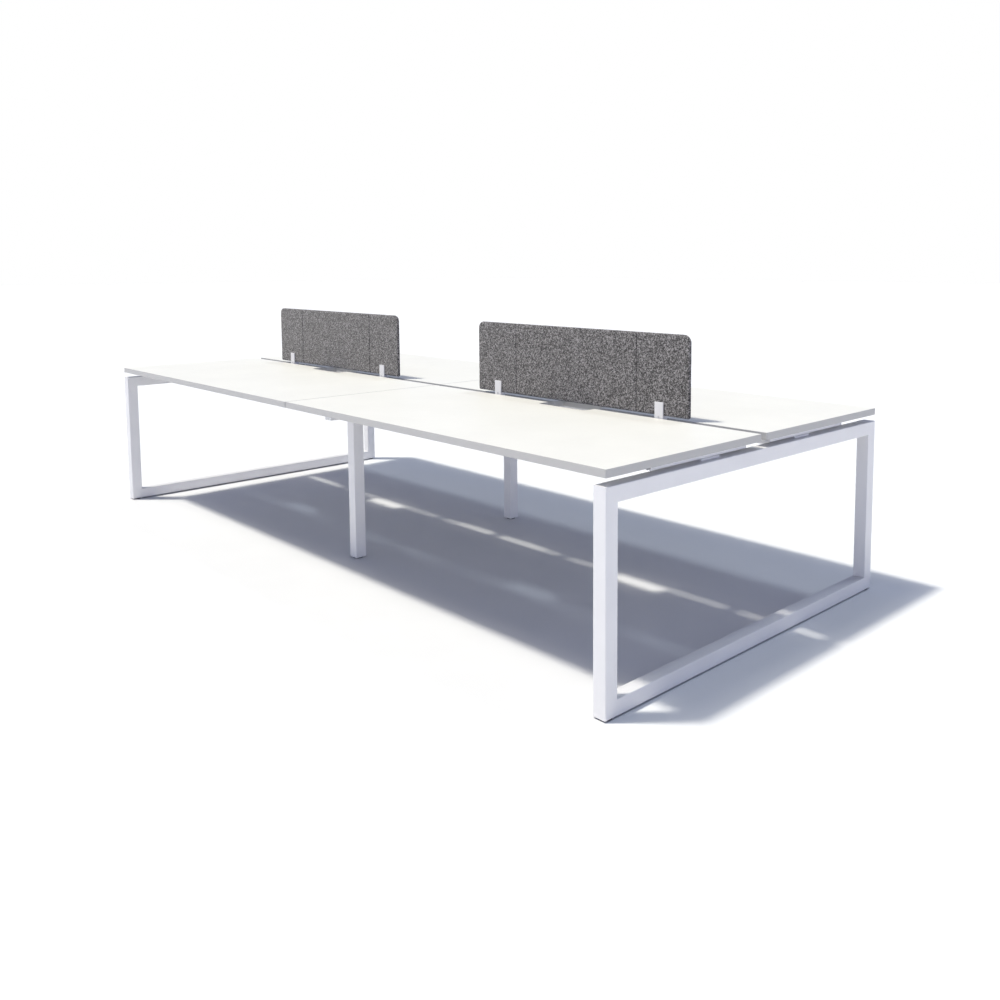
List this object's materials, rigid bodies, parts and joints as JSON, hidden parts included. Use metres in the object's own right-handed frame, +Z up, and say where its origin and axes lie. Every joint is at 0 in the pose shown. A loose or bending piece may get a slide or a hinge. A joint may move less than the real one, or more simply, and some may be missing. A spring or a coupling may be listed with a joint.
{
  "type": "bench desk",
  "caption": "Back-to-back bench desk: pale sliding worktops on white closed-loop end frames and inset middle legs, with grey felt screens over an open cable gap.",
  "frame": {"origin": "on the floor, under the middle of the desk", "axes": "+X along the desk's length, +Y to the rear, +Z up"},
  "size_m": [3.6, 1.54, 1.036],
  "materials": {
    "frame_white": "satin powder coat",
    "board_white": "matt melamine-faced board",
    "edge_grey": "satin plastic edging",
    "felt_grey": "mottled grey felt",
    "core_board": "raw fibreboard",
    "foot_black": "moulded black plastic",
    "cap_white": "moulded white plastic"
  },
  "bodies": {
    "frame": {"end_frame_left_top_rail": "frame_white", "end_frame_left_bottom_rail": "frame_white", "end_frame_left_front_leg": "frame_white", "end_frame_left_rear_leg": "frame_white", "end_frame_right_top_rail": "frame_white", "end_frame_right_bottom_rail": "frame_white", "end_frame_right_front_leg": "frame_white", "end_frame_right_rear_leg": "frame_white", "mid_cross_rail": "frame_white", "mid_leg_front": "frame_white", "mid_leg_rear": "frame_white", "mid_rail_cap_front": "cap_white", "mid_rail_cap_rear": "cap_white", "leg_insert_front": "foot_black", "leg_insert_rear": "foot_black", "beam_front_left": "frame_white", "beam_front_right": "frame_white", "beam_rear_left": "frame_white", "beam_rear_right": "frame_white", "slide_block_front_left": "frame_white", "slide_block_front_mid": "frame_white", "slide_block_front_right": "frame_white", "slide_block_rear_left": "frame_white", "slide_block_rear_mid": "frame_white", "slide_block_rear_right": "frame_white", "screen_core_left": "core_board", "screen_felt_left_front": "felt_grey", "screen_felt_left_rear": "felt_grey", "screen_bracket_left_inner": "frame_white", "screen_bracket_left_outer": "frame_white", "screen_core_right": "core_board", "screen_felt_right_front": "felt_grey", "screen_felt_right_rear": "felt_grey", "screen_bracket_right_inner": "frame_white", "screen_bracket_right_outer": "frame_white"},
    "top_front_left": {"worktop_front_left": "board_white", "edge_band_front_left": "edge_grey", "slide_rail_front_left_outer": "frame_white", "slide_rail_front_left_inner": "frame_white"},
    "top_front_right": {"worktop_front_right": "board_white", "edge_band_front_right": "edge_grey", "slide_rail_front_right_outer": "frame_white", "slide_rail_front_right_inner": "frame_white"},
    "top_rear_left": {"worktop_rear_left": "board_white", "edge_band_rear_left": "edge_grey", "slide_rail_rear_left_outer": "frame_white", "slide_rail_rear_left_inner": "frame_white"},
    "top_rear_right": {"worktop_rear_right": "board_white", "edge_band_rear_right": "edge_grey", "slide_rail_rear_right_outer": "frame_white", "slide_rail_rear_right_inner": "frame_white"},
    "leveller_front_left": {"foot_front_left": "foot_black"},
    "leveller_front_mid": {"foot_front_mid": "foot_black"},
    "leveller_front_right": {"foot_front_right": "foot_black"},
    "leveller_rear_left": {"foot_rear_left": "foot_black"},
    "leveller_rear_mid": {"foot_rear_mid": "foot_black"},
    "leveller_rear_right": {"foot_rear_right": "foot_black"}
  },
  "joints": [
    {"name": "slide_front_left", "type": "slide", "parent": "frame", "child": "top_front_left", "axis": [0, -1, 0], "range_m": [0, 0.147]},
    {"name": "slide_front_right", "type": "slide", "parent": "frame", "child": "top_front_right", "axis": [0, -1, 0], "range_m": [0, 0.147]},
    {"name": "slide_rear_left", "type": "slide", "parent": "frame", "child": "top_rear_left", "axis": [0, 1, 0], "range_m": [0, 0.147]},
    {"name": "slide_rear_right", "type": "slide", "parent": "frame", "child": "top_rear_right", "axis": [0, 1, 0], "range_m": [0, 0.147]},
    {"name": "level_front_left", "type": "slide", "parent": "frame", "child": "leveller_front_left", "axis": [0, 0, -1], "range_m": [0, 0.015]},
    {"name": "level_front_mid", "type": "slide", "parent": "frame", "child": "leveller_front_mid", "axis": [0, 0, -1], "range_m": [0, 0.015]},
    {"name": "level_front_right", "type": "slide", "parent": "frame", "child": "leveller_front_right", "axis": [0, 0, -1], "range_m": [0, 0.015]},
    {"name": "level_rear_left", "type": "slide", "parent": "frame", "child": "leveller_rear_left", "axis": [0, 0, -1], "range_m": [0, 0.015]},
    {"name": "level_rear_mid", "type": "slide", "parent": "frame", "child": "leveller_rear_mid", "axis": [0, 0, -1], "range_m": [0, 0.015]},
    {"name": "level_rear_right", "type": "slide", "parent": "frame", "child": "leveller_rear_right", "axis": [0, 0, -1], "range_m": [0, 0.015]}
  ]
}
